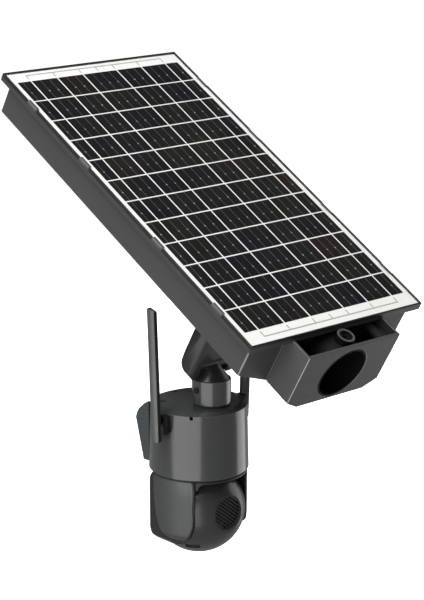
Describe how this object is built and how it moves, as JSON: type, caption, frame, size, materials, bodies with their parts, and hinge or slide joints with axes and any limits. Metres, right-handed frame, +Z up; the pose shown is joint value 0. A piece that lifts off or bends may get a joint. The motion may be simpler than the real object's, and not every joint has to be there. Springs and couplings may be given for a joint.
{
  "type": "solar security camera",
  "caption": "Solar-powered pan-tilt security camera: a sloped battery housing under a solar panel fits on a pole arm and carries a hinged, panning camera with antennas.",
  "frame": {"origin": "centre of the pole socket's mouth", "axes": "+X across the panel, the panel slopes down towards -Y, +Z up as installed"},
  "size_m": [0.253, 0.4541, 0.541],
  "materials": {
    "housing_grey": "fine moulded texture, satin",
    "block_grey": "fine moulded texture, satin",
    "sleeve_metal": "grey powder coat",
    "zinc_steel": "zinc plated",
    "frame_black": "satin black",
    "seal_rubber": "black rubber",
    "clip_grey": "grey, satin",
    "sheet_white": "white laminate",
    "cell_silicon": "dark monocrystalline silicon",
    "ribbon_tin": "tinned ribbon",
    "panel_glass": "clear low-iron glass",
    "box_black": "black moulded plastic",
    "battery_blue": "shrink-wrapped cell",
    "board_green": "solder mask",
    "bracket_grey": "satin moulded plastic",
    "bolt_black": "black oxide",
    "button_red": "red button",
    "neck_black": "black moulded plastic",
    "collar_grey": "satin plastic",
    "cap_grey": "satin plastic",
    "barrel_grey": "satin plastic",
    "hood_grey": "satin plastic",
    "lamp_clear": "clear lamp cover",
    "led_board": "white board with yellow emitters",
    "pir_white": "milky lens",
    "inner_black": "black moulded plastic",
    "bearing_steel": "turned steel",
    "motor_steel": "plated can",
    "gear_nylon": "natural nylon",
    "mount_black": "black moulded plastic",
    "antenna_black": "satin black rubber",
    "cheek_grey": "satin plastic",
    "head_grey": "satin plastic",
    "front_black": "gloss black",
    "grille_black": "black moulded plastic",
    "smoked_glass": "smoked window"
  },
  "bodies": {
    "housing": {"housing_tub": "housing_grey", "socket_block": "block_grey", "pole_sleeve": "sleeve_metal", "socket_bolts": "zinc_steel", "lid_frame": "frame_black", "lid_gasket": "seal_rubber", "panel_clips": "clip_grey", "backsheet": "sheet_white", "solar_cells": "cell_silicon", "bus_ribbons": "ribbon_tin", "solar_glass": "panel_glass", "junction_box": "box_black", "battery_tray": "box_black", "battery_cells": "battery_blue", "charge_controller": "board_green", "power_switch": "box_black", "drop_bracket": "bracket_grey", "bracket_screws": "zinc_steel", "hinge_bolt": "zinc_steel", "hinge_washers": "zinc_steel"},
    "lock_bolt": {"pole_lock_bolt": "bolt_black"},
    "power_key": {"power_button": "button_red"},
    "camera_body": {"knuckle_neck": "neck_black", "mount_collar": "collar_grey", "collar_screw": "zinc_steel", "top_cap": "cap_grey", "cap_screws": "zinc_steel", "barrel_shell": "barrel_grey", "hood_shell": "hood_grey", "lamp_lens": "lamp_clear", "lamp_leds": "led_board", "pir_lens": "pir_white", "main_board": "board_green", "pan_chassis": "inner_black", "pan_bearing": "bearing_steel", "pan_motor": "motor_steel", "antenna_mounts": "mount_black"},
    "pan_pinion_body": {"pan_pinion": "gear_nylon"},
    "antenna_l": {"antenna_left": "antenna_black"},
    "antenna_r": {"antenna_right": "antenna_black"},
    "yoke": {"yoke_frame": "inner_black", "cheek_cover_left": "cheek_grey", "cheek_cover_right": "cheek_grey", "cheek_screws": "zinc_steel", "pan_gear": "gear_nylon", "pan_retainer": "bearing_steel", "tilt_motor": "motor_steel"},
    "tilt_pinion_body": {"tilt_pinion": "gear_nylon"},
    "head": {"head_rear_shell": "head_grey", "head_front_shell": "front_black", "speaker_grille": "grille_black", "speaker": "inner_black", "tilt_trunnions": "bearing_steel", "tilt_gear": "gear_nylon", "card_cover": "seal_rubber", "sensor_board": "board_green", "lens_barrel": "inner_black", "ir_led_ring": "led_board", "lens_window": "smoked_glass"}
  },
  "joints": [
    {"name": "camera_hinge", "type": "hinge", "parent": "housing", "child": "camera_body", "pos_m": [0, 0.2, -0.0295], "axis": [1, 0, 0], "range_deg": [-30, 30]},
    {"name": "pole_lock", "type": "slide", "parent": "housing", "child": "lock_bolt", "axis": [0, 0.5, -0.866], "range_m": [0, 0.006]},
    {"name": "power_press", "type": "slide", "parent": "housing", "child": "power_key", "axis": [0, -0.5, 0.866], "range_m": [0, 0.002], "stiffness_N_per_m": 400},
    {"name": "antenna_left_fold", "type": "hinge", "parent": "camera_body", "child": "antenna_l", "pos_m": [-0.0669, 0.2132, -0.1], "axis": [1, 0, 0], "range_deg": [-90, 90]},
    {"name": "antenna_right_fold", "type": "hinge", "parent": "camera_body", "child": "antenna_r", "pos_m": [0.0669, 0.2132, -0.1], "axis": [1, 0, 0], "range_deg": [-90, 90]},
    {"name": "pan", "type": "hinge", "parent": "camera_body", "child": "yoke", "pos_m": [0, 0.2212, -0.15], "axis": [0, 0, 1], "range_deg": [-177.5, 177.5]},
    {"name": "pan_pinion_spin", "type": "hinge", "parent": "camera_body", "child": "pan_pinion_body", "pos_m": [0.032, 0.2212, -0.145], "axis": [0, 0, 1], "range_deg": [-533, 533]},
    {"name": "tilt", "type": "hinge", "parent": "yoke", "child": "head", "pos_m": [0, 0.2212, -0.2063], "axis": [1, 0, 0], "range_deg": [-90, 10]},
    {"name": "tilt_pinion_spin", "type": "hinge", "parent": "yoke", "child": "tilt_pinion_body", "pos_m": [-0.0428, 0.2212, -0.19255], "axis": [1, 0, 0], "range_deg": [-26, 232]}
  ],
  "couplings": [
    {"joint": "pan_pinion_spin", "follows": "pan", "ratio": -3},
    {"joint": "tilt_pinion_spin", "follows": "tilt", "ratio": -2.5714}
  ]
}
